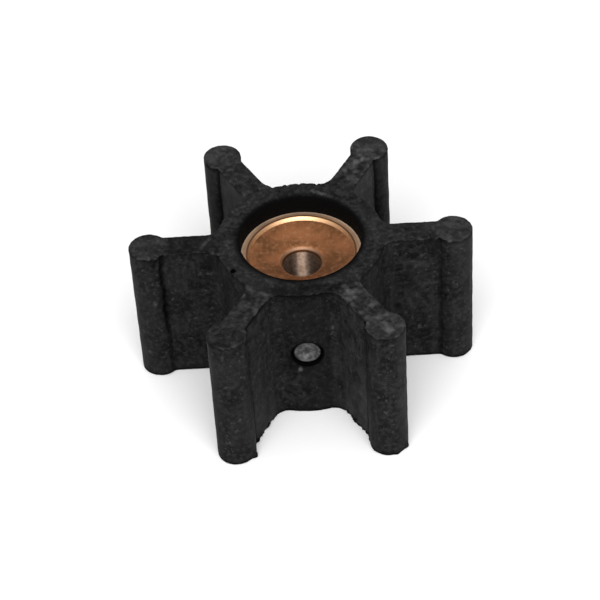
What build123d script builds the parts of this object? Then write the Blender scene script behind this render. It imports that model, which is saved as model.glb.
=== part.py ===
from build123d import *
from math import hypot, isclose, sqrt
import os

# Flexible-vane pump impeller: a moulded rubber vane wheel on a turned bronze
# hub insert, with a headless drive screw set radially through the hub.
#
# Millimetres. The shaft axis is Z, the lower end face of the wheel stands on
# Z = 0 with the axis through the origin, and the first vane points along +X.

# ---------------------------------------------------------------- rubber wheel
wheel_d = 57.15              # across the vane tips
wheel_h = 27.3               # between the two flat end faces
vane_count = 6
web_t = 4.4                  # thickness of a vane between hub and tip bulb
bulb_d = 6.5                 # round tip that seals on the pump housing
hub_d = 27.9
root_r = 2.5                 # fillet where a vane grows out of the hub
neck_r = 0.6                 # fillet where the web meets its bulb
edge_bevel = 0.3             # small bevel all along both end faces
recess_depth = 3.4           # from an end face down to the insert
mouth_bevel = 0.3            # bevel at the mouth of each end recess
pit_d = 0.5                  # pinhole that the mould left in the upper hub face
pit_depth = 0.8
pit_inset = 0.7              # from the surface of the hub to the pinhole's centre
pit_angle = -148.7

# ---------------------------------------------------------------- bronze insert
insert_d = 20.3
bore_d = 6.35                # shaft
dish_d = 17.25               # conical dish in each end
dish_depth = 2.2             # from an end land to where the dish meets the bore
lead_in_width = 0.35         # bevel between land and dish, measured along the radius
lead_in_depth = 0.6          # and measured along the axis
bore_round = 1.0             # rounded entry of the bore
grip_groove_count = 2        # turned grooves that key the rubber to the insert
grip_groove_width = 1.6
grip_groove_depth = 0.6
grip_groove_spacing = 9.0

# ---------------------------------------------------------------- drive screw
screw_d = 4.83               # No. 10
screw_recess = 0.6           # outer end below the surface of the hub
screw_setback = 0.3          # inner end short of the shaft bore
screw_chamfer = 0.25
thread_clearance = 0.02      # radial, between the screw and its tapped hole
access_clearance = 0.3       # radial, between the screw and the hole in the rubber
dimple_d = 2.6
dimple_depth = 0.35

# ---------------------------------------------------------------- derived sizes
hub_radius = hub_d / 2
insert_radius = insert_d / 2
bore_radius = bore_d / 2
dish_radius = dish_d / 2
bulb_radius = bulb_d / 2
screw_radius = screw_d / 2
bulb_centre_radius = wheel_d / 2 - bulb_radius
neck_x = bulb_centre_radius - sqrt(bulb_radius**2 - (web_t / 2) ** 2)
neck_radius = hypot(neck_x, web_t / 2)
mid_height = wheel_h / 2
insert_length = wheel_h - 2 * recess_depth
insert_top = wheel_h - recess_depth
dish_floor = insert_top - dish_depth
screw_start = bore_radius + screw_setback
screw_end = hub_radius - screw_recess
cut_margin = 1.0             # how far a cut runs past the surface it opens

TOP_CENTRE = (Align.CENTER, Align.CENTER, Align.MAX)

# The two end faces of the wheel, each facing outwards.
wheel_ends = (
    Plane(origin=(0, 0, 0), z_dir=(0, 0, -1)),
    Plane(origin=(0, 0, wheel_h), z_dir=(0, 0, 1)),
)

# The screw's axis leaves the shaft axis at mid height along -Y, midway between
# two vanes.
screw_axis_plane = Plane(origin=(0, 0, mid_height), x_dir=(1, 0, 0), z_dir=(0, -1, 0))


def at_radius(radius):
    """Pick corners of a flat sketch that lie at one distance from the axis."""
    return lambda corner: isclose(hypot(corner.X, corner.Y), radius, abs_tol=1e-4)


# Outer form of the insert, shared by the insert and by its seat in the rubber:
# a turned cylinder with its grip grooves, all made as one half profile.
with BuildPart() as insert_blank:
    with BuildSketch(Plane.XZ):
        with Locations((0, mid_height)):
            Rectangle(insert_radius, insert_length, align=(Align.MIN, Align.CENTER))
        with Locations((insert_radius, mid_height)):
            with GridLocations(0, grip_groove_spacing, 1, grip_groove_count):
                Rectangle(2 * grip_groove_depth, grip_groove_width, mode=Mode.SUBTRACT)
    revolve(axis=Axis.Z)

# Rubber wheel: hub sleeve and vanes in one moulding.
with BuildPart() as rubber_impeller:
    with BuildSketch() as outline:
        Circle(hub_radius)
        with PolarLocations(0, vane_count):
            Rectangle(bulb_centre_radius, web_t, align=(Align.MIN, Align.CENTER))
        fillet(outline.vertices().filter_by(at_radius(hub_radius)), root_r)
        with PolarLocations(bulb_centre_radius, vane_count):
            Circle(bulb_radius)
        fillet(outline.vertices().filter_by(at_radius(neck_radius)), neck_r)
    extrude(amount=wheel_h)
    chamfer(rubber_impeller.faces().filter_by(Axis.Z).edges(), edge_bevel)

    # a recess in each end, down to the insert
    for end in wheel_ends:
        with BuildSketch(end):
            Circle(insert_radius)
        extrude(amount=-recess_depth, mode=Mode.SUBTRACT)
    end_faces = rubber_impeller.faces().filter_by(Axis.Z).sort_by(Axis.Z)
    for end_face in (end_faces[0], end_faces[-1]):
        chamfer(end_face.inner_wires().edges(), mouth_bevel)

    # the seat of the insert
    add(insert_blank.part, mode=Mode.SUBTRACT)

    # the hole through which the drive screw is reached
    with BuildSketch(screw_axis_plane):
        Circle(screw_radius + access_clearance)
    extrude(amount=hub_radius + cut_margin, mode=Mode.SUBTRACT)

    # a pinhole in the upper face of the hub
    with BuildSketch(wheel_ends[1]):
        with PolarLocations(hub_radius - pit_inset, 1, start_angle=pit_angle):
            Circle(pit_d / 2)
    extrude(amount=-pit_depth, mode=Mode.SUBTRACT)

# Bronze insert: the blank, bored for the shaft and dished at both ends.
with BuildPart() as hub_insert:
    add(insert_blank.part)
    with BuildSketch(Plane.XZ) as hollow:
        with BuildLine():
            Polyline(
                (0, mid_height),
                (0, insert_top),
                (dish_radius + lead_in_width, insert_top),
                (dish_radius, insert_top - lead_in_depth),
                (bore_radius, dish_floor),
                (bore_radius, mid_height),
                close=True,
            )
        make_face()
        bore_corner = hollow.vertices().sort_by_distance((bore_radius, dish_floor))[0]
        fillet(bore_corner, bore_round)
        mirror(about=Plane.XZ.offset(-mid_height))
    revolve(axis=Axis.Z, mode=Mode.SUBTRACT)

    # the tapped hole of the drive screw, through one wall
    with BuildSketch(screw_axis_plane):
        Circle(screw_radius + thread_clearance)
    extrude(amount=insert_radius + cut_margin, mode=Mode.SUBTRACT)

# Drive screw: headless, with a shallow drilled dimple in its outer end.
with BuildPart() as drive_screw:
    with BuildSketch(screw_axis_plane.offset(screw_start)):
        Circle(screw_radius)
    extrude(amount=screw_end - screw_start)
    chamfer(drive_screw.edges().filter_by(GeomType.CIRCLE), screw_chamfer)
    with Locations(screw_axis_plane.offset(screw_end)):
        Cone(0, dimple_d / 2, dimple_depth, align=TOP_CENTRE, mode=Mode.SUBTRACT)

rubber_impeller.part.label = "rubber_impeller"
hub_insert.part.label = "hub_insert"
drive_screw.part.label = "drive_screw"

os.makedirs("parts", exist_ok=True)
export_step(rubber_impeller.part, "parts/rubber_impeller.step")
export_step(hub_insert.part, "parts/hub_insert.step")
export_step(drive_screw.part, "parts/drive_screw.step")
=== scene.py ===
from math import atan2, ceil, cos, hypot, pi, radians, sin, sqrt, tan

import bmesh
import bpy
import numpy as np
from mathutils import Matrix, Vector, noise
from mathutils.geometry import delaunay_2d_cdt


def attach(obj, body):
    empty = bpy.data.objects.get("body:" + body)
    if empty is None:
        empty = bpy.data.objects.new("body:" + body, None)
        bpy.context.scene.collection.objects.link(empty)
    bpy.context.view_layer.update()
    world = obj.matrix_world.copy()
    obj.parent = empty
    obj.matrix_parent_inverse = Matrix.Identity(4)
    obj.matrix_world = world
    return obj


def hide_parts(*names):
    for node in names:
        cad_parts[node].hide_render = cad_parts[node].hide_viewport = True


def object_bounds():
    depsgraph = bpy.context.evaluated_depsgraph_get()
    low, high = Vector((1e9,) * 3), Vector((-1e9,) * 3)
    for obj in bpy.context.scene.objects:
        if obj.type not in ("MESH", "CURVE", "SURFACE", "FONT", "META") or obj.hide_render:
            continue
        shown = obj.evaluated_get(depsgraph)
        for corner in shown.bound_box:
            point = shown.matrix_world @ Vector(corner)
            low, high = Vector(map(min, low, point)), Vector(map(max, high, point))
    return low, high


# Looks of the pump impeller: a used moulded rubber vane wheel on a turned bronze
# insert, with a headless drive screw. Sizes here are millimetres; the meshes are
# scaled to metres as they are made.

MM = 0.001

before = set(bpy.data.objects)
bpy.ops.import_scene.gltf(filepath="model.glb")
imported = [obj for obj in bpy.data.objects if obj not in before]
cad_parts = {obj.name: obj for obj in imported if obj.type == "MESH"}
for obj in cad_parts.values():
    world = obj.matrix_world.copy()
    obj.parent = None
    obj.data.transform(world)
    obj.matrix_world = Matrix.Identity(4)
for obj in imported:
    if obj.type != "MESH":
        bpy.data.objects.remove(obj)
cad_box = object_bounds()

# ---------------------------------------------------------------- sizes of the part
VANES = 6
TIP_RADIUS = 28.575
HEIGHT = 27.3
MID_HEIGHT = HEIGHT / 2
HUB_RADIUS = 13.95
WEB_HALF = 2.2               # half the thickness of a vane between hub and bulb
BULB_RADIUS = 3.25
BULB_CENTRE = TIP_RADIUS - BULB_RADIUS
ROOT_FILLET = 2.5
NECK_FILLET = 0.6
EDGE_ROUND = 0.3
RECESS_DEPTH = 3.4
MOUTH_ROUND = 0.3
PIT_RADIUS = 0.42            # pinhole in the upper face of the hub
PIT_DEPTH = 0.8
PIT_DISTANCE = 13.4
PIT_ANGLE = radians(-147.6)
PIT_X = PIT_DISTANCE * cos(PIT_ANGLE)
PIT_Y = PIT_DISTANCE * sin(PIT_ANGLE)

# Directions of the vanes as the photo shows them, in degrees from X, and their sides.
RIGHT, BACK_RIGHT, BACK_LEFT, LEFT, FRONT_LEFT, FRONT_RIGHT = range(0, 360, 360 // VANES)
ANTICLOCKWISE, CLOCKWISE = 1, -1

INSERT_RADIUS = 10.15
INSERT_TOP = HEIGHT - RECESS_DEPTH
BORE_RADIUS = 3.175
DISH_RADIUS = 8.625
DISH_DEPTH = 2.2
LEAD_IN_WIDTH = 0.35
LEAD_IN_DEPTH = 0.6
BORE_ROUND = 1.0
BORE_BAND = 0.02             # past the bore's radius, still counted as its wall
GRIP_DEPTH = 0.6             # turned grooves that key the rubber to the insert
GRIP_WIDTH = 1.6
GRIP_SPACING = 9.0
INSERT_BREAK = 0.08          # broken edges of the insert's end lands

SCREW_RADIUS = 2.415
SCREW_CHAMFER = 0.25
SCREW_START = BORE_RADIUS + 0.3
SCREW_END = HUB_RADIUS - 0.6
THREAD_PITCH = 1.058
THREAD_DEPTH = 0.55
THREAD_SLOPE = 1.25          # steepness of the flanks
THREAD_CREST = 0.12          # share of the depth that the flat crest cuts off
THREAD_RUNOUT = 0.2          # pitches without thread at the outer end
DIMPLE_RADIUS = 1.3
DIMPLE_DEPTH = 0.35
TAPPED_RADIUS = 2.435        # the screw's hole in the insert
ACCESS_RADIUS = 2.715        # and in the rubber
CUT_MARGIN = 1.0             # how far a hole's cutter runs past the surface it opens

# ---------------------------------------------------------------- mesh fineness
OUTLINE_STEP = 0.3
ROW_STEP = 0.45
CAP_STEP = 0.36
CAP_MARGIN = 0.6 * CAP_STEP  # from the edge of an end face to its first inner point
CAP_TOLERANCE = 1e-5
ROUND_ROWS = 4
RECESS_ROWS = 7
TURNS = 256                  # segments round a turned surface
DISH_ROWS = 12
ENTRY_ROWS = 12
HOLE_SEGMENTS = 96
SCREW_SEGMENTS = 96
ROWS_PER_THREAD = 10
DIMPLE_RINGS = (0.99, 0.75, 0.5, 0.25)   # shares of the dimple's radius
SMALLEST_EDGE = 0.001        # shorter edges are closed up after a cut
SHARP_ANGLE = 50             # degrees between faces, from which an edge shades sharp
BRONZE_SHARP = 20
SCREW_SHARP = 30


# ---------------------------------------------------------------- mesh helpers
def new_piece(name, points, faces, material, sharp=SHARP_ANGLE):
    """A smooth-shaded object in the scene, from points in millimetres."""
    mesh = bpy.data.meshes.new(name)
    mesh.from_pydata((np.asarray(points) * MM).tolist(), [], faces)
    mesh.validate()
    piece = bpy.data.objects.new(name, mesh)
    bpy.context.scene.collection.objects.link(piece)
    mesh.materials.append(material)
    mesh.shade_smooth()
    mesh.set_sharp_from_angle(angle=radians(sharp))
    return piece


def ring_quads(lower, upper):
    """Quads between two closed rings of vertex numbers of the same length."""
    count = len(lower)
    return [
        (lower[i], lower[(i + 1) % count], upper[(i + 1) % count], upper[i])
        for i in range(count)
    ]


def stacked_quads(rings, count, first=0):
    """Quads up a stack of rings of count vertices each, numbered on from first."""
    faces = []
    for start in range(first, first + (rings - 1) * count, count):
        lower = range(start, start + count)
        upper = range(start + count, start + 2 * count)
        faces += ring_quads(lower, upper)
    return faces


def ring(radius, z, segments=TURNS):
    """Points round the Z axis; the radius is one value, or one for each point."""
    angles = np.arange(segments) * 2 * pi / segments
    return np.stack(
        [radius * np.cos(angles), radius * np.sin(angles), np.full(segments, z)], 1
    )


def lathe(profile):
    """Points and quads of a closed (radius, height) profile turned about the Z axis."""
    points = np.concatenate([ring(r, z) for r, z in profile])
    faces = stacked_quads(len(profile), TURNS)
    faces += ring_quads(range(len(points) - TURNS, len(points)), range(TURNS))
    return points, faces


def drill(piece, radius, start, end):
    """Cut a round hole through a piece from one point to another, in millimetres."""
    start, end = Vector(start), Vector(end)
    bpy.ops.mesh.primitive_cylinder_add(
        vertices=HOLE_SEGMENTS,
        radius=radius * MM,
        depth=(end - start).length * MM,
        location=(start + end) / 2 * MM,
        rotation=(end - start).to_track_quat("Z", "Y").to_euler(),
    )
    cutter = bpy.context.object
    cut = piece.modifiers.new("hole", "BOOLEAN")
    cut.operation = "DIFFERENCE"
    cut.solver = "EXACT"
    cut.object = cutter
    bpy.context.view_layer.update()
    graph = bpy.context.evaluated_depsgraph_get()
    holed = bpy.data.meshes.new_from_object(piece.evaluated_get(graph))
    piece.modifiers.clear()
    # the cut leaves faces of many sides, some with corners that all but touch
    cleaned = bmesh.new()
    cleaned.from_mesh(holed)
    many_sided = [face for face in cleaned.faces if len(face.verts) > 4]
    bmesh.ops.triangulate(cleaned, faces=many_sided)
    bmesh.ops.dissolve_degenerate(cleaned, dist=SMALLEST_EDGE * MM, edges=cleaned.edges)
    cleaned.to_mesh(holed)
    cleaned.free()
    piece.data = holed
    bpy.data.objects.remove(cutter)


# ---------------------------------------------------------------- material helpers
def new_material(name):
    """A material with its node tree and its Principled shader."""
    material = bpy.data.materials.new(name)
    material.use_nodes = True
    return material, material.node_tree, material.node_tree.nodes["Principled BSDF"]


def feed(tree, entry, source):
    """Give an input its value, or link it to the socket that drives it."""
    if isinstance(source, bpy.types.NodeSocket):
        tree.links.new(source, entry)
    else:
        entry.default_value = source


def add(tree, kind, links=(), **settings):
    """A node with its settings; links gives what feeds each input, a socket or a value."""
    made = tree.nodes.new(kind)
    for name, value in settings.items():
        setattr(made, name, value)
    for name, source in dict(links).items():
        feed(tree, made.inputs[name], source)
    return made


def noise_of(tree, place, scale, detail=3.0, roughness=0.55):
    """Cloudy noise about 0.5; scale is its lumps to the metre."""
    links = {"Vector": place, "Scale": scale, "Detail": detail, "Roughness": roughness}
    return add(tree, "ShaderNodeTexNoise", links).outputs["Fac"]


def between(tree, value, low, high):
    """value rising from 0 at low to 1 at high, smoothly."""
    links = {"Value": value, "From Min": low, "From Max": high}
    made = add(tree, "ShaderNodeMapRange", links, interpolation_type="SMOOTHSTEP")
    return made.outputs["Result"]


def beyond(tree, distance, start, blur):
    """0 nearer than start, 1 farther out, in millimetres, blurred by so much each way."""
    return between(tree, distance, (start - blur) * MM, (start + blur) * MM)


def mix(tree, factor, first, second):
    """A colour between two colours, or a blend of sockets."""
    made = add(tree, "ShaderNodeMix", data_type="RGBA")
    for number, source in ((0, factor), (6, first), (7, second)):
        feed(tree, made.inputs[number], source)
    return made.outputs[2]


def calc(tree, operation, first, second=0.0, third=0.0):
    """The result of a sum on values or sockets."""
    made = add(tree, "ShaderNodeMath", operation=operation)
    for entry, source in zip(made.inputs, (first, second, third)):
        feed(tree, entry, source)
    return made.outputs[0]


def scaled(tree, field, factor, base):
    """base plus factor times the field."""
    return calc(tree, "MULTIPLY_ADD", field, factor, base)


def vector_calc(tree, operation, first, second=(0.0, 0.0, 0.0)):
    """The node of a sum on vectors."""
    links = {0: first, 1: second}
    return add(tree, "ShaderNodeVectorMath", links, operation=operation)


def relief_of(tree, *layers):
    """Bumps laid over each other; each is a field, its depth in millimetres and a strength."""
    links = {}
    for field, depth, strength in layers:
        links |= {"Height": field, "Distance": depth * MM, "Strength": strength}
        links["Normal"] = add(tree, "ShaderNodeBump", links).outputs["Normal"]
    return links["Normal"]


def grey(value):
    """A neutral colour."""
    return (value, value, value, 1.0)


# ---------------------------------------------------------------- materials
RUBBER_BLACK = grey(0.0015)
RUBBER_CLOUD = grey(0.007)
RUBBER_FILM = grey(0.019)
RUBBER_DUST = grey(0.05)
RUBBER_WORN_AND_LIT = grey(0.075)
RUBBER_SHADE_AND_GRIME = grey(0.0008)
RUBBER_ROUGHNESS = 0.5
STREAK_SQUEEZE = 0.12        # of the height, which draws blotches out into streaks
RUBBER_SPECULAR = 0.05
DISH_COPPER = (0.40, 0.16, 0.069, 1)
DISH_BROWN = (0.20, 0.085, 0.035, 1)
DISH_PALE = (0.48, 0.25, 0.125, 1)
BEVEL_GOLD = (0.54, 0.32, 0.175, 1)
LAND_TAN = (0.68, 0.42, 0.26, 1)
LAND_SHADE_LINE = (0.20, 0.10, 0.05, 1)
LAND_RIM_HIGHLIGHT = (0.98, 0.72, 0.52, 1)
ENTRY_PALE = (0.25, 0.145, 0.09, 1)
ENTRY_DARK_REFLECTION = (0.10, 0.04, 0.015, 1)
BRONZE_ROUGHNESS = 0.24
TONE_BLUR = 0.05             # between two tones of the bronze, where a tool left an edge
BORE_PINK = (0.27, 0.195, 0.15, 1)
BORE_SHADE = (0.17, 0.11, 0.075, 1)
BORE_ROUGHNESS = 0.6
STEEL_DARK = grey(0.03)
STEEL_PALE = grey(0.12)
STEEL_RIM_SHADE = grey(0.006)


def rubber_material():
    """Black rubber gone matte: cloudy, dusty, scuffed, with shade painted darker into its
    corners, creases and hollows.

    The mesh says where it is paler, scuffed and with light painted on it ("wear"), and where
    it is darker, dirty and with shade painted on it ("shade_and_grime").
    """
    material, tree, shader = new_material("worn_rubber")
    place = add(tree, "ShaderNodeTexCoord").outputs["Object"]
    drawn_out = {"Vector": place, "Scale": (1.0, 1.0, STREAK_SQUEEZE)}
    upright = add(tree, "ShaderNodeMapping", drawn_out).outputs["Vector"]
    cloud = noise_of(tree, place, scale=190.0, detail=5.0, roughness=0.65)
    blotch = noise_of(tree, place, scale=1250.0, roughness=0.6)
    streak = noise_of(tree, upright, scale=900.0, detail=2.0)
    grain = noise_of(tree, place, scale=2600.0, detail=2.0)
    specks = noise_of(tree, place, scale=1500.0, detail=2.0)
    scuff = noise_of(tree, place, scale=480.0, detail=5.0, roughness=0.62)
    shade = mix(tree, between(tree, cloud, 0.34, 0.66), RUBBER_BLACK, RUBBER_CLOUD)
    # a film in blotches, streaks down the sides, and dust: the noise, the values at
    # which it starts and is full, how strongly it covers, and its colour
    films = (
        (blotch, 0.4, 0.7, 0.6, RUBBER_FILM),
        (streak, 0.5, 0.75, 0.35, RUBBER_FILM),
        (specks, 0.6, 0.74, 0.4, RUBBER_DUST),
    )
    for field, low, high, cover, tone in films:
        film = calc(tree, "MULTIPLY", between(tree, field, low, high), cover)
        shade = mix(tree, film, shade, tone)
    # paler where scuffed, where light is painted on the tops and where a sheen is painted on
    # the right bulbs
    worn_and_lit = add(tree, "ShaderNodeAttribute", attribute_name="wear").outputs["Fac"]
    patchy = scaled(tree, between(tree, scuff, 0.38, 0.62), 1.1, 0.45)
    shade = mix(tree, calc(tree, "MULTIPLY", worn_and_lit, patchy), shade, RUBBER_WORN_AND_LIT)
    # darker where dirty, and where shade is painted into corners, creases, holes and recesses
    shade_and_grime = add(tree, "ShaderNodeAttribute", attribute_name="shade_and_grime").outputs["Fac"]
    shade = mix(tree, shade_and_grime, shade, RUBBER_SHADE_AND_GRIME)
    tree.links.new(shade, shader.inputs["Base Color"])
    rough = scaled(tree, shade_and_grime, 0.3, scaled(tree, blotch, 0.3, RUBBER_ROUGHNESS))
    tree.links.new(rough, shader.inputs["Roughness"])
    shader.inputs["Specular IOR Level"].default_value = RUBBER_SPECULAR
    relief = relief_of(tree, (cloud, 0.3, 0.6), (blotch, 0.15, 0.35), (grain, 0.04, 0.6))
    tree.links.new(relief, shader.inputs["Normal"])
    return material


def axis_distance(tree, place, kept=(1.0, 1.0, 0.0)):
    """Distance of the point being shaded from an axis, Z unless kept says otherwise."""
    flat = vector_calc(tree, "MULTIPLY", place, kept).outputs["Vector"]
    return vector_calc(tree, "LENGTH", flat).outputs["Value"]


def bronze_material():
    """Turned bronze: a tarnished dish, paler lands and a bright cut bevel between them, with a
    painted highlight and a painted shade line on the land and a painted dark reflection in the
    bore's entry.
    """
    material, tree, shader = new_material("turned_bronze")
    place = add(tree, "ShaderNodeTexCoord").outputs["Object"]
    patch = noise_of(tree, place, scale=260.0, detail=5.0, roughness=0.6)
    fine = noise_of(tree, place, scale=1500.0)
    radius = axis_distance(tree, place)
    colour = mix(tree, between(tree, patch, 0.35, 0.65), DISH_COPPER, DISH_BROWN)
    colour = mix(tree, between(tree, fine, 0.45, 0.9), colour, DISH_PALE)
    # other tones inwards of a radius, round the bore, and outwards of one, from the
    # bevel to the rim of the land: the radius, its blur and the tone
    bevel_end = DISH_RADIUS + LEAD_IN_WIDTH
    inwards = (
        (BORE_RADIUS + 0.5 * BORE_ROUND, 0.08, ENTRY_PALE),
        # the dark ring at the foot of the bore's round entry is a painted dark reflection
        (BORE_RADIUS + 0.14 * BORE_ROUND, TONE_BLUR, ENTRY_DARK_REFLECTION),
    )
    outwards = (
        (DISH_RADIUS, TONE_BLUR, BEVEL_GOLD),
        # the dark ring just outside the bevel is painted shade at the land's inner edge
        (bevel_end, TONE_BLUR, LAND_SHADE_LINE),
        (bevel_end + 0.3, 0.12, LAND_TAN),
        # the near-white rim of the land is a painted highlight
        (INSERT_RADIUS - 0.4, 0.2, LAND_RIM_HIGHLIGHT),
    )
    for start, blur, tone in inwards:
        colour = mix(tree, beyond(tree, radius, start, blur), tone, colour)
    for start, blur, tone in outwards:
        colour = mix(tree, beyond(tree, radius, start, blur), colour, tone)
    tree.links.new(colour, shader.inputs["Base Color"])
    shader.inputs["Metallic"].default_value = 1.0
    on_land = beyond(tree, radius, bevel_end, TONE_BLUR)
    off_dish = beyond(tree, radius, DISH_RADIUS, TONE_BLUR)
    on_bevel = calc(tree, "SUBTRACT", off_dish, on_land)
    off_entry = beyond(tree, radius, BORE_RADIUS + 0.85 * BORE_ROUND, 0.15)
    on_entry = calc(tree, "SUBTRACT", 1.0, off_entry)
    rough = scaled(tree, patch, 0.25, BRONZE_ROUGHNESS)
    for where, rougher in ((on_land, 0.15), (on_bevel, 0.1), (on_entry, 0.25)):
        rough = scaled(tree, where, rougher, rough)
    tree.links.new(rough, shader.inputs["Roughness"])
    turned = add(
        tree,
        "ShaderNodeTexWave",
        {"Vector": place, "Scale": 700.0, "Distortion": 0.4, "Detail": 2.0},
        wave_type="RINGS",
        rings_direction="Z",
    ).outputs["Fac"]
    relief = relief_of(tree, (turned, 0.01, 0.35), (fine, 0.02, 0.3))
    tree.links.new(relief, shader.inputs["Normal"])
    return material


def bore_material():
    """Reamed bronze, its round tool marks drawing a lamp out into an upright streak."""
    material, tree, shader = new_material("reamed_bronze")
    place = add(tree, "ShaderNodeTexCoord").outputs["Object"]
    marks = add(
        tree,
        "ShaderNodeTexWave",
        {"Vector": place, "Scale": 900.0, "Distortion": 1.5, "Detail": 2.0},
        bands_direction="Z",
    ).outputs["Fac"]
    fine = noise_of(tree, place, scale=1800.0)
    colour = mix(tree, between(tree, fine, 0.35, 0.7), BORE_PINK, BORE_SHADE)
    tree.links.new(colour, shader.inputs["Base Color"])
    shader.inputs["Metallic"].default_value = 1.0
    shader.inputs["Roughness"].default_value = BORE_ROUGHNESS
    shader.inputs["Anisotropic"].default_value = 1.0
    shader.inputs["Anisotropic Rotation"].default_value = 0.25
    turn = add(tree, "ShaderNodeTangent", direction_type="RADIAL", axis="Z")
    tree.links.new(turn.outputs["Tangent"], shader.inputs["Tangent"])
    tree.links.new(relief_of(tree, (marks, 0.01, 0.3)), shader.inputs["Normal"])
    return material


def steel_material():
    """Dull grey steel, rough and pitted, with shade painted dark round its rim, which sits
    down in its hole.
    """
    material, tree, shader = new_material("dull_steel")
    place = add(tree, "ShaderNodeTexCoord").outputs["Object"]
    patch = noise_of(tree, place, scale=900.0, detail=4.0)
    pits = noise_of(tree, place, scale=2600.0, detail=2.0)
    colour = mix(tree, between(tree, patch, 0.35, 0.7), STEEL_DARK, STEEL_PALE)
    lowered = vector_calc(tree, "ADD", place, (0.0, 0.0, -MID_HEIGHT * MM))
    away = axis_distance(tree, lowered.outputs["Vector"], (1.0, 0.0, 1.0))
    # painted shade round the rim, where the screw sits down in its hole
    rim = beyond(tree, away, SCREW_RADIUS - 0.3, 0.15)
    colour = mix(tree, rim, colour, STEEL_RIM_SHADE)
    tree.links.new(colour, shader.inputs["Base Color"])
    shader.inputs["Metallic"].default_value = 0.85
    shader.inputs["Roughness"].default_value = 0.5
    relief = relief_of(tree, (patch, 0.08, 0.8), (pits, 0.03, 0.7))
    tree.links.new(relief, shader.inputs["Normal"])
    return material


def floor_material():
    """Plain pale studio floor with the faintest unevenness."""
    material, tree, shader = new_material("studio_floor")
    place = add(tree, "ShaderNodeTexCoord").outputs["Object"]
    tone = noise_of(tree, place, scale=3.0)
    tree.links.new(mix(tree, tone, grey(0.94), grey(0.96)), shader.inputs["Base Color"])
    shader.inputs["Roughness"].default_value = 0.9
    shader.inputs["Specular IOR Level"].default_value = 0.1
    return material


# ---------------------------------------------------------------- scuffs, dirt and painted light and shade on the rubber
SEAT_REACH = 0.05            # past the insert's radius, still counted as its seat
WEB_BAND = 0.4               # to each side of a web's face, counted as that face
NECK_SETBACK = 2.42          # from the middle of a bulb back to where its web ends
WAVE_DEPTH = 0.05            # of the faint waves all over the rubber
TORN_DEPTH = 1.4             # where an edge is torn away completely
FLASH_HEIGHT = 1.5
TEAR_LEAST = 0.1             # share of these that every edge has
TEAR_WORST = 0.5             # and that the worst edges have on top of it
JAG_POINTS = 40              # of the ragged line of a crease, up the wheel
JAG_STEP = 0.9
JAG_SIZE = 0.22
SPLIT_SHIFT = 0.3            # the split lies so much farther out than the neck
SPLIT_JAG = 1.6              # and is so much more jagged than the creases
CREASE_BLUR = 0.3
MARK_BLUR = 0.35
SCRATCH_WIDTH = 0.2
SCRATCH_DEPTH = 0.05
LEAST_LEVEL = 0.15           # a surface that looks less to the side grows no flash


def fade(value, low, high):
    """0 below low, 1 above high, smooth between them."""
    share = np.clip((value - low) / (high - low), 0, 1)
    return share * share * (3 - 2 * share)


def lumps(points, size, seed):
    """Smooth noise about -1 to 1 at each point, with lumps of a given size."""
    shift = Vector((seed, 2.3 * seed, 4.1 * seed))
    return np.array([noise.noise(Vector(p) / size + shift) for p in points])


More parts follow.
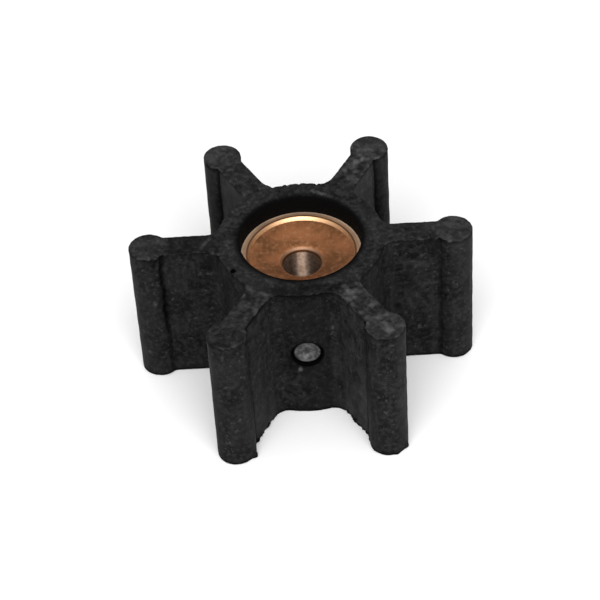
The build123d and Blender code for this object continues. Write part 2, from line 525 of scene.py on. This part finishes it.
class Skin:
    """The wheel's vertices, and what scuffing, dirt and painted light and shade do to each of
    them.

    relief moves a vertex out along its normal, drop moves it in from its end face
    and flash moves it out level. wear says how pale it is painted, for scuffs
    and for light, and shade_and_grime how dark, for dirt and for shade.
    edge is its depth below the nearer end face; upward and sideways are 1 where the
    surface looks that way; inner is the inside of the hub, and outer all the rest.
    """

    def __init__(self, mesh):
        self.count = len(mesh.vertices)
        flat = np.empty(self.count * 3)
        mesh.vertices.foreach_get("co", flat)
        self.at = flat.reshape(-1, 3) / MM
        mesh.vertex_normals.foreach_get("vector", flat)
        self.normal = flat.reshape(-1, 3).copy()
        self.relief, self.drop, self.flash = np.zeros((3, self.count))
        self.wear, self.shade_and_grime = np.zeros((2, self.count))
        self.x, self.y, self.z = self.at.T
        self.radius = np.hypot(self.x, self.y)
        self.edge = np.minimum(self.z, HEIGHT - self.z)
        self.upward = fade(self.normal[:, 2], 0.5, 0.9)
        self.sideways = 1 - abs(self.normal[:, 2])
        self.inner = self.radius < INSERT_RADIUS + SEAT_REACH
        self.outer = ~self.inner

    def vane(self, degrees):
        """Distance out along a vane, and across it anticlockwise, of every vertex."""
        c, s = cos(radians(degrees)), sin(radians(degrees))
        return c * self.x + s * self.y, c * self.y - s * self.x

    def on_hub(self, margin):
        """Which vertices lie no farther out than the hub and a margin."""
        return self.radius < HUB_RADIUS + margin

    def top_of(self, degrees, start, end):
        """1 on the upper face of a vane, from one distance out to another."""
        out, across = self.vane(degrees)
        along = fade(out, start, start + 1) * (1 - fade(out, end - 1, end))
        return along * self.upward * (abs(across) < BULB_RADIUS)

    def lump(self, mask, size, depth, wear, seed):
        """Dents and pale high spots where the mask is above zero."""
        chosen = mask > 0.01
        field = lumps(self.at[chosen], size, seed)
        self.relief[chosen] -= mask[chosen] * depth * fade(field, -0.5, 0.5)
        self.wear[chosen] += mask[chosen] * wear * fade(-field, -0.25, 0.5)

    def mark(self, start, end, width, wear=0.0, depth=0.0, shade_and_grime=0.0):
        """A straight mark between two points of the surface."""
        start, run = np.array(start), np.array(end) - np.array(start)
        share = np.clip((self.at - start) @ run / (run @ run), 0, 1)
        away = np.linalg.norm(self.at - start - share[:, None] * run, axis=1)
        strength = 1 - fade(away, width / 2, width / 2 + MARK_BLUR)
        self.wear += strength * wear
        self.relief -= strength * depth
        self.shade_and_grime += strength * shade_and_grime

    def burr(self, centre, radius, height):
        """A small lump of flash that stands out of the surface."""
        away = np.linalg.norm(self.at - np.array(centre), axis=1)
        self.relief += height * (1 - fade(away, 0, radius))

    def crease(self, degrees, side, line, depth, shade_and_grime, width):
        """A groove down one side of a vane, with shade painted dark into it; line gives its
        distance out by height.
        """
        out, across = self.vane(degrees)
        on_side = (side * across > WEB_HALF - 0.2) & (abs(self.normal[:, 2]) < 0.7)
        mark = on_side * (1 - fade(abs(out - line), width, width + CREASE_BLUR))
        self.relief -= mark * depth
        self.shade_and_grime += mark * shade_and_grime

    def settle(self, piece):
        """Move the vertices, inside the box of the CAD part, and store wear and
        shade_and_grime.
        """
        points = self.at + self.normal * self.relief[:, None]
        points[:, 2] += self.drop * np.where(self.z < MID_HEIGHT, 1, -1)
        level = np.hypot(self.normal[:, 0], self.normal[:, 1])
        flash = self.flash / np.maximum(level, LEAST_LEVEL) * (level > LEAST_LEVEL)
        points[:, :2] += self.normal[:, :2] * flash[:, None]
        low, high = (np.array(corner) / MM for corner in cad_box)
        points = np.clip(points, low, high)
        piece.data.vertices.foreach_set("co", (points * MM).ravel())
        for name, values in (("wear", self.wear), ("shade_and_grime", self.shade_and_grime)):
            layer = piece.data.attributes.new(name, "FLOAT", "POINT")
            layer.data.foreach_set("value", np.clip(values, 0, 1))
        piece.data.update()
        piece.data.set_sharp_from_angle(angle=radians(SHARP_ANGLE))


def tear_edges(skin):
    """Flash torn along the edges of both end faces, scuffed pale above, with shade painted
    dark below them.

    It is worst under the front vanes and at the back of the hub.
    """
    torn = lumps(skin.at * (1, 1, 0.4), size=0.62, seed=3)
    under_vanes = (1 - fade(skin.z, 1.0, 2.0)) * fade(-skin.y, 11.5, 12.5)
    under_vanes *= fade(skin.radius, 15.0, 16.0) * (skin.radius < 24)
    hub_back = fade(skin.y, 10.5, 11.5) * fade(skin.z, 25, 26) * skin.on_hub(0.55)
    tear = TEAR_LEAST + TEAR_WORST * np.maximum(under_vanes, 0.7 * hub_back)
    near_edge = skin.outer * (1 - fade(skin.edge, 0.25, 0.7))
    skin.drop = near_edge * tear * TORN_DEPTH * fade(torn, -0.1, 0.5)
    # the lower end face stays nearly flat, because the wheel stands on it
    lower_drop = 0.3 + 0.7 * fade(skin.sideways, 0.03, 0.2)
    skin.drop *= np.where(skin.z < MID_HEIGHT, lower_drop, 1)
    skin.flash = near_edge * tear * FLASH_HEIGHT * np.clip(torn, -0.3, 0.6)

    # upper edges are pale but for the front of the hub, which is dark
    hub_front = fade(-skin.y, 11.0, 12.0) * skin.on_hub(0.35)
    pale_edge = near_edge * (skin.z > MID_HEIGHT) * (1 - hub_front)
    skin.wear += 0.15 * pale_edge * fade(torn, 0.0, 0.4)
    skin.shade_and_grime += 0.4 * hub_front * fade(skin.z, 26.6, 27.0)

    # shade is painted dark on the sides just beside every edge, and at the foot
    beside_edge = fade(skin.edge, 0.1, 0.25) * (1 - fade(skin.edge, 0.5, 0.9))
    skin.shade_and_grime += 0.75 * beside_edge * skin.sideways * skin.outer
    foot = (1 - fade(skin.z, 0.2, 0.5)) * fade(skin.sideways, 0.2, 0.6)
    skin.shade_and_grime += foot * skin.outer


def crease_necks(skin):
    """Creases where the webs meet their bulbs, and the split down the left vane, with shade
    painted dark into them.
    """
    neck = BULB_CENTRE - NECK_SETBACK
    jags = [noise.noise(Vector((0, 5.5, k * JAG_STEP))) for k in range(JAG_POINTS)]
    jag = JAG_SIZE * np.interp(skin.z, np.linspace(0, HEIGHT, JAG_POINTS), jags)

    # the split gapes towards the top, in uneven stretches, and shade is painted into it,
    # darker towards the top
    broken = 0.7 + 0.3 * fade(lumps(skin.at, size=1.1, seed=21), -0.15, 0.1)
    gape = 0.4 * broken * fade(skin.z, 8, 12)
    split_shade = broken * (0.4 + 0.6 * fade(skin.z, 6, 12))
    split = neck + SPLIT_SHIFT + SPLIT_JAG * jag
    skin.crease(LEFT, ANTICLOCKWISE, split, gape, split_shade, width=0.16)
    top_start, top_end = (-24.5, -3.1, 25.4), (-23.9, -2.9, 26.7)
    side_start, side_end = (-23.6, -2.7, 15.5), (-22.9, -2.2, 15.5)
    skin.mark(top_start, top_end, width=0.3, depth=0.15, shade_and_grime=0.8)
    skin.mark(side_start, side_end, width=0.3, depth=0.15, shade_and_grime=0.8)

    skin.crease(RIGHT, CLOCKWISE, neck + jag, depth=0.1, shade_and_grime=0.35, width=0.16)
    fine_creases = (
        (BACK_LEFT, ANTICLOCKWISE, 0.8),
        (BACK_RIGHT, CLOCKWISE, 0.8),
        (FRONT_LEFT, ANTICLOCKWISE, 0.6),
        (FRONT_RIGHT, CLOCKWISE, 0.7),
    )
    for vane, side, shade_and_grime in fine_creases:
        skin.crease(vane, side, neck + jag, 0.12, shade_and_grime, width=0.05)


def rub_and_light_tops(skin):
    """Pale scuffed tops of the bulbs, scuffed tops of the webs and the hub, and every upward
    face paler, with dust and painted light from above.
    """
    # dust, and light painted on from above, make every upward face a little paler
    skin.wear += 0.045 * skin.upward
    bulb_start, past_tip = 22.3, 30
    bulbs = {RIGHT: 0.14, BACK_RIGHT: 0.13, BACK_LEFT: 0.15, LEFT: 0.07, FRONT_RIGHT: 0.13}
    for vane, wear in bulbs.items():
        skin.wear += wear * skin.top_of(vane, bulb_start, past_tip)
    skin.lump(skin.top_of(FRONT_RIGHT, 13.5, 24.5), size=0.8, depth=0.22, wear=0.3, seed=11)
    skin.lump(skin.top_of(BACK_RIGHT, 14.5, 25.5), size=0.9, depth=0.2, wear=0.24, seed=12)
    skin.lump(skin.top_of(FRONT_LEFT, 13.5, 21.5), size=0.9, depth=0.18, wear=0.28, seed=13)
    skin.lump(skin.top_of(BACK_LEFT, 13.5, 22.5), size=1.1, depth=0.1, wear=0.12, seed=14)
    skin.lump(skin.upward * skin.outer * 0.5, size=1.5, depth=0.08, wear=0.14, seed=15)
    skin.shade_and_grime += 0.4 * skin.top_of(LEFT, 14.5, 22.5)


def rub_and_sheen_sides(skin):
    """Webs scuffed paler, the two right bulbs paler in patches, scuffed and with a painted
    sheen, and a rough spot on the hub.
    """
    webs = (
        (FRONT_LEFT, ANTICLOCKWISE, 0.08),
        (FRONT_RIGHT, CLOCKWISE, 0.11),
        (BACK_RIGHT, CLOCKWISE, 0.16),
        (BACK_LEFT, ANTICLOCKWISE, 0.1),
    )
    for vane, side, wear in webs:
        out, across = skin.vane(vane)
        face = abs(side * across - WEB_HALF) < WEB_BAND
        along = fade(out, 15, 16) * (1 - fade(out, 22, 22.6))
        skin.wear += wear * face * skin.sideways * along

    # the two bulbs at the right are paler in patches, from where they look this far right:
    # partly scuffed, partly a painted sheen
    patches = 0.4 + 0.6 * fade(lumps(skin.at, size=2.2, seed=22), -0.2, 0.2)
    for vane, this_far in ((RIGHT, -0.2), (FRONT_RIGHT, 0.4)):
        out, _ = skin.vane(vane)
        bulb = fade(out, 23.2, 24.2) * skin.sideways
        facing = fade(skin.normal[:, 0], this_far - 0.2, this_far + 0.2)
        skin.wear += 0.06 * bulb * patches * facing

    # the rough spot lies on the front of the hub, below the screw
    spot_x, spot_z = -2.8, 5.5
    spot = 1 - fade(np.hypot(skin.x - spot_x, skin.z - spot_z), 2, 5)
    spot *= fade(-skin.y, 12.5, 13.2) * skin.on_hub(0.25)
    skin.lump(spot, size=0.8, depth=0.15, wear=0.16, seed=16)


def scratch(skin):
    """Scratches, pale specks and one cut with shade painted dark into it."""
    # on top, from one (x, y) to another: width, wear and depth
    on_top = (
        ((2.4, 11.7), (5.4, 9.7), 0.3, 0.45, 0.05),         # back of the hub
        ((12.4, -21.8), (13.4, -23.2), 1.2, 0.4, 0.0),      # front right bulb
        ((6.6, -12.2), (8.6, -15.4), 0.5, 0.35, 0.0),       # and the root of its web
        ((-15.2, 1.1), (-16.6, -1.3), 0.2, 0.3, 0.05),      # left vane
        ((9.3, 17.0), (11.6, 19.4), 0.3, 0.4, 0.06),        # back right vane, twice
        ((8.2, 16.8), (10.4, 18.9), 0.3, 0.4, 0.06),
    )
    for start, end, width, wear, depth in on_top:
        skin.mark((*start, HEIGHT), (*end, HEIGHT), width, wear, depth)

    # on the front of the right vane, from one (x, z) to another
    on_right_vane = (
        ((16.4, 22.6), (20.6, 21.4), 1.1, 0.1, 0.0),        # a broad rub
        ((20.3, 17.0), (22.3, 17.3), SCRATCH_WIDTH, 0.2, SCRATCH_DEPTH),
        ((17.0, 16.0), (18.2, 12.0), SCRATCH_WIDTH, 0.14, SCRATCH_DEPTH),
        ((18.6, 15.4), (20.9, 12.0), SCRATCH_WIDTH, 0.1, SCRATCH_DEPTH),
        ((18.9, 18.4), (20.6, 15.4), SCRATCH_WIDTH, 0.08, SCRATCH_DEPTH),
        ((16.4, 13.6), (17.1, 10.4), SCRATCH_WIDTH, 0.12, SCRATCH_DEPTH),
        ((19.3, 7.3), (19.3, 7.1), 0.1, 0.7, 0.0),          # a speck
    )
    for (x0, z0), (x1, z1), width, wear, depth in on_right_vane:
        skin.mark((x0, -WEB_HALF, z0), (x1, -WEB_HALF, z1), width, wear, depth)

    # specks, each with its length along one axis
    skin.mark((-24.9, -3.2, 17.4), (-24.9, -3.2, 17.0), width=0.3, wear=0.3)    # left bulb
    skin.mark((-16.4, -2.2, 18.4), (-17.0, -2.2, 18.4), width=0.3, wear=0.15)   # left web
    skin.mark((4.4, -13.3, 19.3), (4.4, -13.3, 19.0), width=0.3, wear=0.9)      # hub
    skin.mark((-1.3, -13.9, 10.4), (-1.3, -13.9, 10.2), width=0.3, wear=0.7)

    # a cut runs along the edge of the front left vane's top, with shade painted dark into it
    cut_start, cut_end = (-6.2, -14.9, 27.1), (-9.3, -20.4, 27.1)
    skin.mark(cut_start, cut_end, width=0.3, depth=0.2, shade_and_grime=0.7)


def add_burrs(skin):
    """Burrs at the feet of the two front bulbs."""
    skin.burr((-9.6, -23.5, 0.5), radius=0.9, height=0.75)
    skin.burr((15.6, -23.5, 0.6), radius=0.8, height=0.45)
    skin.burr((13.9, -24.9, 0.2), radius=0.7, height=0.2)


def darken_hollows(skin):
    """Shade painted dark into the recesses and holes, round their mouths and in a corner, and
    the front of the hub darker.
    """
    # the front of the hub, between the two front vanes
    hub_front = fade(-skin.y, 12.6, 13.1) * (1 - fade(abs(skin.x), 3.4, 4.8))
    skin.shade_and_grime += 0.4 * hub_front * skin.on_hub(0.25) * skin.sideways

    # painted shade inside the hub and round the mouths of its recesses
    skin.shade_and_grime[skin.inner] = 1.0
    past_mouth = fade(skin.radius - INSERT_RADIUS, 0.2, 1.35)
    skin.shade_and_grime += 0.95 * (1 - past_mouth) * skin.outer

    # painted shade in the screw's hole and the pinhole
    from_screw = np.hypot(skin.x, skin.z - MID_HEIGHT)
    skin.shade_and_grime += (skin.y < -INSERT_RADIUS) * (from_screw < ACCESS_RADIUS + 0.15)
    from_pit = np.hypot(skin.x - PIT_X, skin.y - PIT_Y)
    skin.shade_and_grime += (from_pit < PIT_RADIUS + 0.05) * (skin.z > HEIGHT - 1)

    # painted shade in the upper corner where the left vane leaves the hub
    corner_x, corner_z = -15.6, 24.2
    corner = 1 - fade(np.hypot(skin.x - corner_x, skin.z - corner_z), 0.6, 2.2)
    skin.shade_and_grime += 0.6 * corner * (abs(skin.y) < 3)


def weather(piece):
    """Give the moulded wheel its flash, burrs, creases, scuffs and dirt, with shade painted
    into its hollows and light painted on its tops.
    """
    skin = Skin(piece.data)
    waves = fade(lumps(skin.at, size=2.6, seed=1), -0.5, 0.5)
    skin.relief -= skin.outer * WAVE_DEPTH * waves
    tear_edges(skin)
    crease_necks(skin)
    rub_and_light_tops(skin)
    rub_and_sheen_sides(skin)
    scratch(skin)
    add_burrs(skin)
    darken_hollows(skin)
    skin.settle(piece)


# ---------------------------------------------------------------- rubber wheel
def arc(centre, radius, start, end, hollow=False, fewest=2):
    """Points of an arc, without its end, and their outward normals.

    A hollow arc is a fillet, whose normals point to its centre.
    """
    steps = max(fewest, ceil(abs(end - start) * radius / OUTLINE_STEP))
    points = []
    for i in range(steps):
        angle = start + (end - start) * i / steps
        way = (cos(angle), sin(angle))
        normal = (-way[0], -way[1]) if hollow else way
        points.append((centre[0] + radius * way[0], centre[1] + radius * way[1], *normal))
    return points


def straight(start, end, normal):
    """Points of a straight stretch, without its end, and their outward normals."""
    run = (end[0] - start[0], end[1] - start[1])
    steps = max(1, ceil(hypot(*run) / OUTLINE_STEP))
    return [
        (start[0] + run[0] * i / steps, start[1] + run[1] * i / steps, *normal)
        for i in range(steps)
    ]


def half_vane():
    """From the middle of the hub's free arc round one side of the first vane to its tip."""
    root_y = -(WEB_HALF + ROOT_FILLET)
    root_x = sqrt((HUB_RADIUS + ROOT_FILLET) ** 2 - root_y**2)
    root_angle = atan2(root_y, root_x)
    neck_y = -(WEB_HALF + NECK_FILLET)
    reach = BULB_RADIUS + NECK_FILLET
    neck_x = BULB_CENTRE - sqrt(reach**2 - neck_y**2)
    neck_angle = atan2(neck_y, neck_x - BULB_CENTRE)
    points = arc((0, 0), HUB_RADIUS, -pi / VANES, root_angle)
    points += arc((root_x, root_y), ROOT_FILLET, pi + root_angle, pi / 2, hollow=True)
    points += straight((root_x, -WEB_HALF), (neck_x, -WEB_HALF), (0, -1))
    neck = (neck_x, neck_y)
    points += arc(neck, NECK_FILLET, pi / 2, neck_angle + pi, hollow=True, fewest=5)
    points += arc((BULB_CENTRE, 0), BULB_RADIUS, neck_angle, 0)
    return points


def wheel_outline():
    """Points (x, y) and outward normals all round the wheel, anticlockwise."""
    half = half_vane()
    tip = (TIP_RADIUS, 0, 1, 0)
    mirrored = [(x, -y, nx, -ny) for x, y, nx, ny in reversed(half[1:])]
    sector = np.array(half + [tip] + mirrored)
    whole = []
    for vane in range(VANES):
        turn = 2 * pi * vane / VANES
        c, s = cos(turn), sin(turn)
        x, y, nx, ny = sector.T
        turned = [c * x - s * y, s * x + c * y, c * nx - s * ny, s * nx + c * ny]
        whole.append(np.stack(turned, 1))
    whole = np.concatenate(whole)
    return whole[:, :2], whole[:, 2:]


def inside(points, loop):
    """Which of the points lie inside a closed loop."""
    x, y = points[:, 0:1], points[:, 1:2]
    x0, y0 = loop[:, 0], loop[:, 1]
    x1, y1 = np.roll(x0, -1), np.roll(y0, -1)
    crosses = (y0 > y) != (y1 > y)
    rise = np.where(y1 == y0, 1.0, y1 - y0)
    return (crosses & (x < x0 + (y - y0) / rise * (x1 - x0))).sum(1) % 2 == 1


def cap_triangles(outer, inner):
    """Even triangles between the wheel's outline and the mouth of its recess.

    Returns the points, the two loops first, and the triangles, anticlockwise.
    """
    lift = CAP_STEP * sqrt(3) / 2
    rows = int(2 * TIP_RADIUS / lift)
    columns = int(2 * TIP_RADIUS / CAP_STEP)
    row, column = np.mgrid[0:rows, 0:columns]
    x = (column + (row % 2) / 2).ravel() * CAP_STEP - TIP_RADIUS
    y = row.ravel() * lift - TIP_RADIUS
    grid = np.stack([x, y], 1)
    grid = grid[inside(grid, outer) & ~inside(grid, inner)]
    edge = np.concatenate([outer, inner])
    nearest = np.array([np.min(np.hypot(*(edge - point).T)) for point in grid])
    grid = grid[nearest > CAP_MARGIN]
    points = np.concatenate([outer, inner, grid])
    first_inner = len(outer)
    past_inner = first_inner + len(inner)
    loops = [list(range(first_inner)), list(range(first_inner, past_inner))]
    only_inside = 1
    _, _, triangles, sources, _, within = delaunay_2d_cdt(
        [Vector(p) for p in points], [], loops, only_inside, CAP_TOLERANCE
    )
    order = [found[0] for found in sources]
    kept = [
        [order[k] for k in triangle]
        for triangle, source in zip(triangles, within)
        if 0 in source and 1 not in source
    ]
    return points, kept


def wheel_rows():
    """(height, inset) of each row of the wheel's side, with both ends rounded over."""
    turn = [pi / 2 * i / ROUND_ROWS for i in range(ROUND_ROWS)]
    lower = [(EDGE_ROUND * (1 - cos(a)), EDGE_ROUND * (1 - sin(a))) for a in turn]
    count = ceil((HEIGHT - 2 * EDGE_ROUND) / ROW_STEP)
    heights = np.linspace(EDGE_ROUND, HEIGHT - EDGE_ROUND, count + 1)
    straight_rows = [(z, 0.0) for z in heights]
    upper = [(HEIGHT - z, inset) for z, inset in reversed(lower)]
    return lower + straight_rows + upper


def bore_rows():
    """(height, radius) down the inside of the rubber, from the upper mouth to the lower."""
    turn = [pi / 2 * i / ROUND_ROWS for i in range(ROUND_ROWS + 1)]
    mouth = [
        (MOUTH_ROUND * (1 - cos(a)), INSERT_RADIUS + MOUTH_ROUND * (1 - sin(a)))
        for a in turn
    ]
    depths = np.linspace(MOUTH_ROUND, RECESS_DEPTH, RECESS_ROWS + 1)[1:]
    upper = [(HEIGHT - z, r) for z, r in mouth]
    upper += [(HEIGHT - d, INSERT_RADIUS) for d in depths]
    seat = []
    for middle in (MID_HEIGHT + GRIP_SPACING / 2, MID_HEIGHT - GRIP_SPACING / 2):
        groove = INSERT_RADIUS - GRIP_DEPTH
        seat += [
            (middle + GRIP_WIDTH / 2, INSERT_RADIUS),
            (middle + GRIP_WIDTH / 2, groove),
            (middle - GRIP_WIDTH / 2, groove),
            (middle - GRIP_WIDTH / 2, INSERT_RADIUS),
        ]
    lower = [(HEIGHT - z, r) for z, r in reversed(upper)]
    return upper + seat + lower


def rubber_piece():
    """The wheel in one closed mesh: its side, the bore of its hub and two end faces."""
    outline, normals = wheel_outline()
    count = len(outline)
    rows = wheel_rows()
    side = [
        np.column_stack([outline - normals * inset, np.full(count, z)])
        for z, inset in rows
    ]
    down = bore_rows()
    points = side + [ring(r, z) for z, r in down]
    first = len(rows) * count
    faces = stacked_quads(len(rows), count) + stacked_quads(len(down), TURNS, first)

    # fill each end face between its rim on the side and its mouth at the bore; facing
    # is 1 for the upper one, and -1 turns the triangles of the lower one over
    outer = outline - normals * EDGE_ROUND
    inner = ring(INSERT_RADIUS + MOUTH_ROUND, 0.0)[:, :2]
    flat, triangles = cap_triangles(outer, inner)
    loose = flat[count + TURNS:]
    filled = first + len(down) * TURNS
    ends = (
        (HEIGHT, first - count, first, 1),
        (0.0, 0, filled - TURNS, -1),
    )
    for z, rim, mouth, facing in ends:
        number = [*range(rim, rim + count), *range(mouth, mouth + TURNS)]
        number += range(filled, filled + len(loose))
        points.append(np.column_stack([loose, np.full(len(loose), z)]))
        filled += len(loose)
        faces += [tuple(number[k] for k in corners[::facing]) for corners in triangles]
    points = np.concatenate(points)
    piece = new_piece("rubber_vane_wheel", points, faces, rubber_material())
    seat = (0, -INSERT_RADIUS + 2 * CUT_MARGIN, MID_HEIGHT)
    outside = (0, -HUB_RADIUS - 2 * CUT_MARGIN, MID_HEIGHT)
    drill(piece, ACCESS_RADIUS, seat, outside)
    pit_floor = (PIT_X, PIT_Y, HEIGHT - PIT_DEPTH)
    drill(piece, PIT_RADIUS, pit_floor, (PIT_X, PIT_Y, HEIGHT + CUT_MARGIN))
    weather(piece)
    return piece


# ---------------------------------------------------------------- bronze insert
def insert_profile():
    """Closed half section of the insert, anticlockwise, its ends alike."""
    groove_radius = INSERT_RADIUS - GRIP_DEPTH
    groove_top = MID_HEIGHT + (GRIP_SPACING + GRIP_WIDTH) / 2
    groove_base = groove_top - GRIP_WIDTH
    land_radius = DISH_RADIUS + LEAD_IN_WIDTH
    upper = [
        (INSERT_RADIUS, groove_base),
        (groove_radius, groove_base),
        (groove_radius, groove_top),
        (INSERT_RADIUS, groove_top),
        (INSERT_RADIUS, INSERT_TOP - INSERT_BREAK),
        (INSERT_RADIUS - INSERT_BREAK, INSERT_TOP),
        (land_radius + INSERT_BREAK / 2, INSERT_TOP),
        (land_radius, INSERT_TOP - INSERT_BREAK / 2),
    ]
    fall = (DISH_DEPTH - LEAD_IN_DEPTH) / (DISH_RADIUS - BORE_RADIUS)
    slope = atan2(fall, 1)
    centre_radius = BORE_RADIUS + BORE_ROUND
    centre_z = INSERT_TOP - DISH_DEPTH - BORE_ROUND * tan((pi / 2 - slope) / 2)
    dish_end = centre_radius - BORE_ROUND * sin(slope)
    upper += [
        (r, INSERT_TOP - LEAD_IN_DEPTH - (DISH_RADIUS - r) * fall)
        for r in np.linspace(DISH_RADIUS, dish_end, DISH_ROWS)
    ]
    upper += [
        (centre_radius - BORE_ROUND * sin(a), centre_z + BORE_ROUND * cos(a))
        for a in np.linspace(slope, pi / 2, ENTRY_ROWS)[1:]
    ]
    lower = [(r, HEIGHT - z) for r, z in reversed(upper)]
    return upper + lower


def insert_piece():
    """The turned insert with its tapped hole, and its bore in a finish of its own."""
    points, faces = lathe(insert_profile())
    piece = new_piece("bronze_insert", points, faces, bronze_material(), BRONZE_SHARP)
    outside = (0, -INSERT_RADIUS - CUT_MARGIN, MID_HEIGHT)
    drill(piece, TAPPED_RADIUS, (0, 0, MID_HEIGHT), outside)
    piece.data.set_sharp_from_angle(angle=radians(BRONZE_SHARP))
    piece.data.materials.append(bore_material())
    for face in piece.data.polygons:
        in_bore = hypot(face.center.x, face.center.y) / MM < BORE_RADIUS + BORE_BAND
        upright = abs(face.normal.z) < 0.1
        if in_bore and upright:
            face.material_index = 1
    return piece


# ---------------------------------------------------------------- drive screw
def screw_piece():
    """A threaded stud with bevelled ends and a shallow dimple in the outer one."""
    length = SCREW_END - SCREW_START
    rows = ceil((length - 2 * SCREW_CHAMFER) / THREAD_PITCH * ROWS_PER_THREAD)
    turned = np.arange(SCREW_SEGMENTS) / SCREW_SEGMENTS
    end_radius = SCREW_RADIUS - SCREW_CHAMFER
    profile = [(end_radius, 0.0)]
    for z in np.linspace(SCREW_CHAMFER, length - SCREW_CHAMFER, rows):
        phase = (z / THREAD_PITCH - turned) % 1.0
        cut = np.clip(abs(2 * phase - 1) * THREAD_SLOPE - THREAD_CREST, 0, 1)
        # the thread runs out just before the outer end
        cut *= np.clip((length - z) / THREAD_PITCH - THREAD_RUNOUT, 0, 1)
        profile.append((SCREW_RADIUS - THREAD_DEPTH * cut, z))
    profile.append((end_radius, length))
    profile += [
        (DIMPLE_RADIUS * share, length - DIMPLE_DEPTH * (1 - share**2))
        for share in DIMPLE_RINGS
    ]
    points = np.concatenate([ring(r, z, SCREW_SEGMENTS) for r, z in profile])
    faces = stacked_quads(len(profile), SCREW_SEGMENTS)
    faces.append(tuple(reversed(range(SCREW_SEGMENTS))))
    faces.append(tuple(range(len(points) - SCREW_SEGMENTS, len(points))))
    # lay the screw down, so that it points forward from the shaft
    x, y, z = (points + (0, 0, SCREW_START)).T
    points = np.stack([x, -z, y + MID_HEIGHT], 1)
    return new_piece("drive_screw_threaded", points, faces, steel_material(), SCREW_SHARP)


# ---------------------------------------------------------------- studio
CAMERA_ELEVATION = radians(43.5678)
CAMERA_ROLL = radians(-3.8033)
CAMERA_TURN = radians(0.4108)
CAMERA_OFFSET = Vector((-0.7495, -0.4846, 406.143))     # right, up and back of the centre
CAMERA_LENS = 143.816
SENSOR_WIDTH = 36
FLOOR_SIZE = 4.0             # this and the lamps' sizes are metres
SKY_FRONT = 1.5
SKY_AROUND = 0.65
SKY_RISE = (0.1, 0.95)       # how far forward the sky starts to brighten, and is full
LAMP_DISTANCE = 1.0
LAMP_AZIMUTH = -90           # in front of the part


def place_camera():
    """The camera of the photo, as fitted to the wheel's outline."""
    camera = bpy.data.objects.new("camera", bpy.data.cameras.new("camera"))
    camera.data.lens = CAMERA_LENS
    camera.data.sensor_width = SENSOR_WIDTH
    camera.data.clip_start = 0.01
    bpy.context.scene.collection.objects.link(camera)
    aim = Matrix.Rotation(CAMERA_TURN, 4, "Z")
    aim @= Matrix.Rotation(pi / 2 - CAMERA_ELEVATION, 4, "X")
    centre = Matrix.Translation((0, 0, MID_HEIGHT * MM))
    offset = Matrix.Translation(CAMERA_OFFSET * MM)
    camera.matrix_world = centre @ aim @ offset @ Matrix.Rotation(CAMERA_ROLL, 4, "Z")
    bpy.context.scene.camera = camera


def softbox(name, width, height, radiance, elevation):
    """A rectangular area light of a given radiance, aimed at the part."""
    light = bpy.data.lights.new(name, "AREA")
    light.shape = "RECTANGLE"
    light.size = width
    light.size_y = height
    light.energy = radiance * pi * width * height
    lamp = bpy.data.objects.new(name, light)
    bpy.context.scene.collection.objects.link(lamp)
    up, turn = radians(elevation), radians(LAMP_AZIMUTH)
    way = Vector((cos(up) * cos(turn), cos(up) * sin(turn), sin(up)))
    lamp.location = way * LAMP_DISTANCE
    lamp.rotation_euler = way.to_track_quat("Z", "Y").to_euler()
    return lamp


def soft_sky():
    """Soft white light all round, brightest in front of the part."""
    world = bpy.data.worlds.new("studio")
    world.use_nodes = True
    tree = world.node_tree
    way = add(tree, "ShaderNodeTexCoord").outputs["Generated"]
    depth = add(tree, "ShaderNodeSeparateXYZ", {"Vector": way}).outputs["Y"]
    front = between(tree, calc(tree, "MULTIPLY", depth, -1.0), *SKY_RISE)
    strength = scaled(tree, front, SKY_FRONT - SKY_AROUND, SKY_AROUND)
    tree.links.new(strength, tree.nodes["Background"].inputs["Strength"])
    tree.nodes["Background"].inputs["Color"].default_value = (1, 1, 1, 1)
    bpy.context.scene.world = world


def set_studio(insert):
    """A floor, a soft sky and three lamps in front, one of them for the insert alone."""
    corners = [(-1, -1, 0), (1, -1, 0), (1, 1, 0), (-1, 1, 0)]
    points = np.array(corners) * FLOOR_SIZE / 2 / MM
    floor = new_piece("studio_floor", points, [(0, 1, 2, 3)], floor_material())
    soft_sky()
    softbox("front_strip", width=1.7, height=0.45, radiance=3.6, elevation=17)
    softbox("front_key", width=0.8, height=0.5, radiance=3.6, elevation=60)
    bore_lamp = softbox("bore_lamp", width=0.6, height=0.5, radiance=11.0, elevation=50)
    lit = bpy.data.collections.new("lit_by_bore_lamp")
    lit.objects.link(insert)
    bore_lamp.light_linking.receiver_collection = lit
    bpy.context.scene.view_settings.view_transform = "Standard"


# ---------------------------------------------------------------- build
wheel = rubber_piece()
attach(wheel, "root")
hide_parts("rubber_impeller")

insert = insert_piece()
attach(insert, "root")
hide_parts("hub_insert")

screw = screw_piece()
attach(screw, "root")
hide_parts("drive_screw")

set_studio(insert)
place_camera()
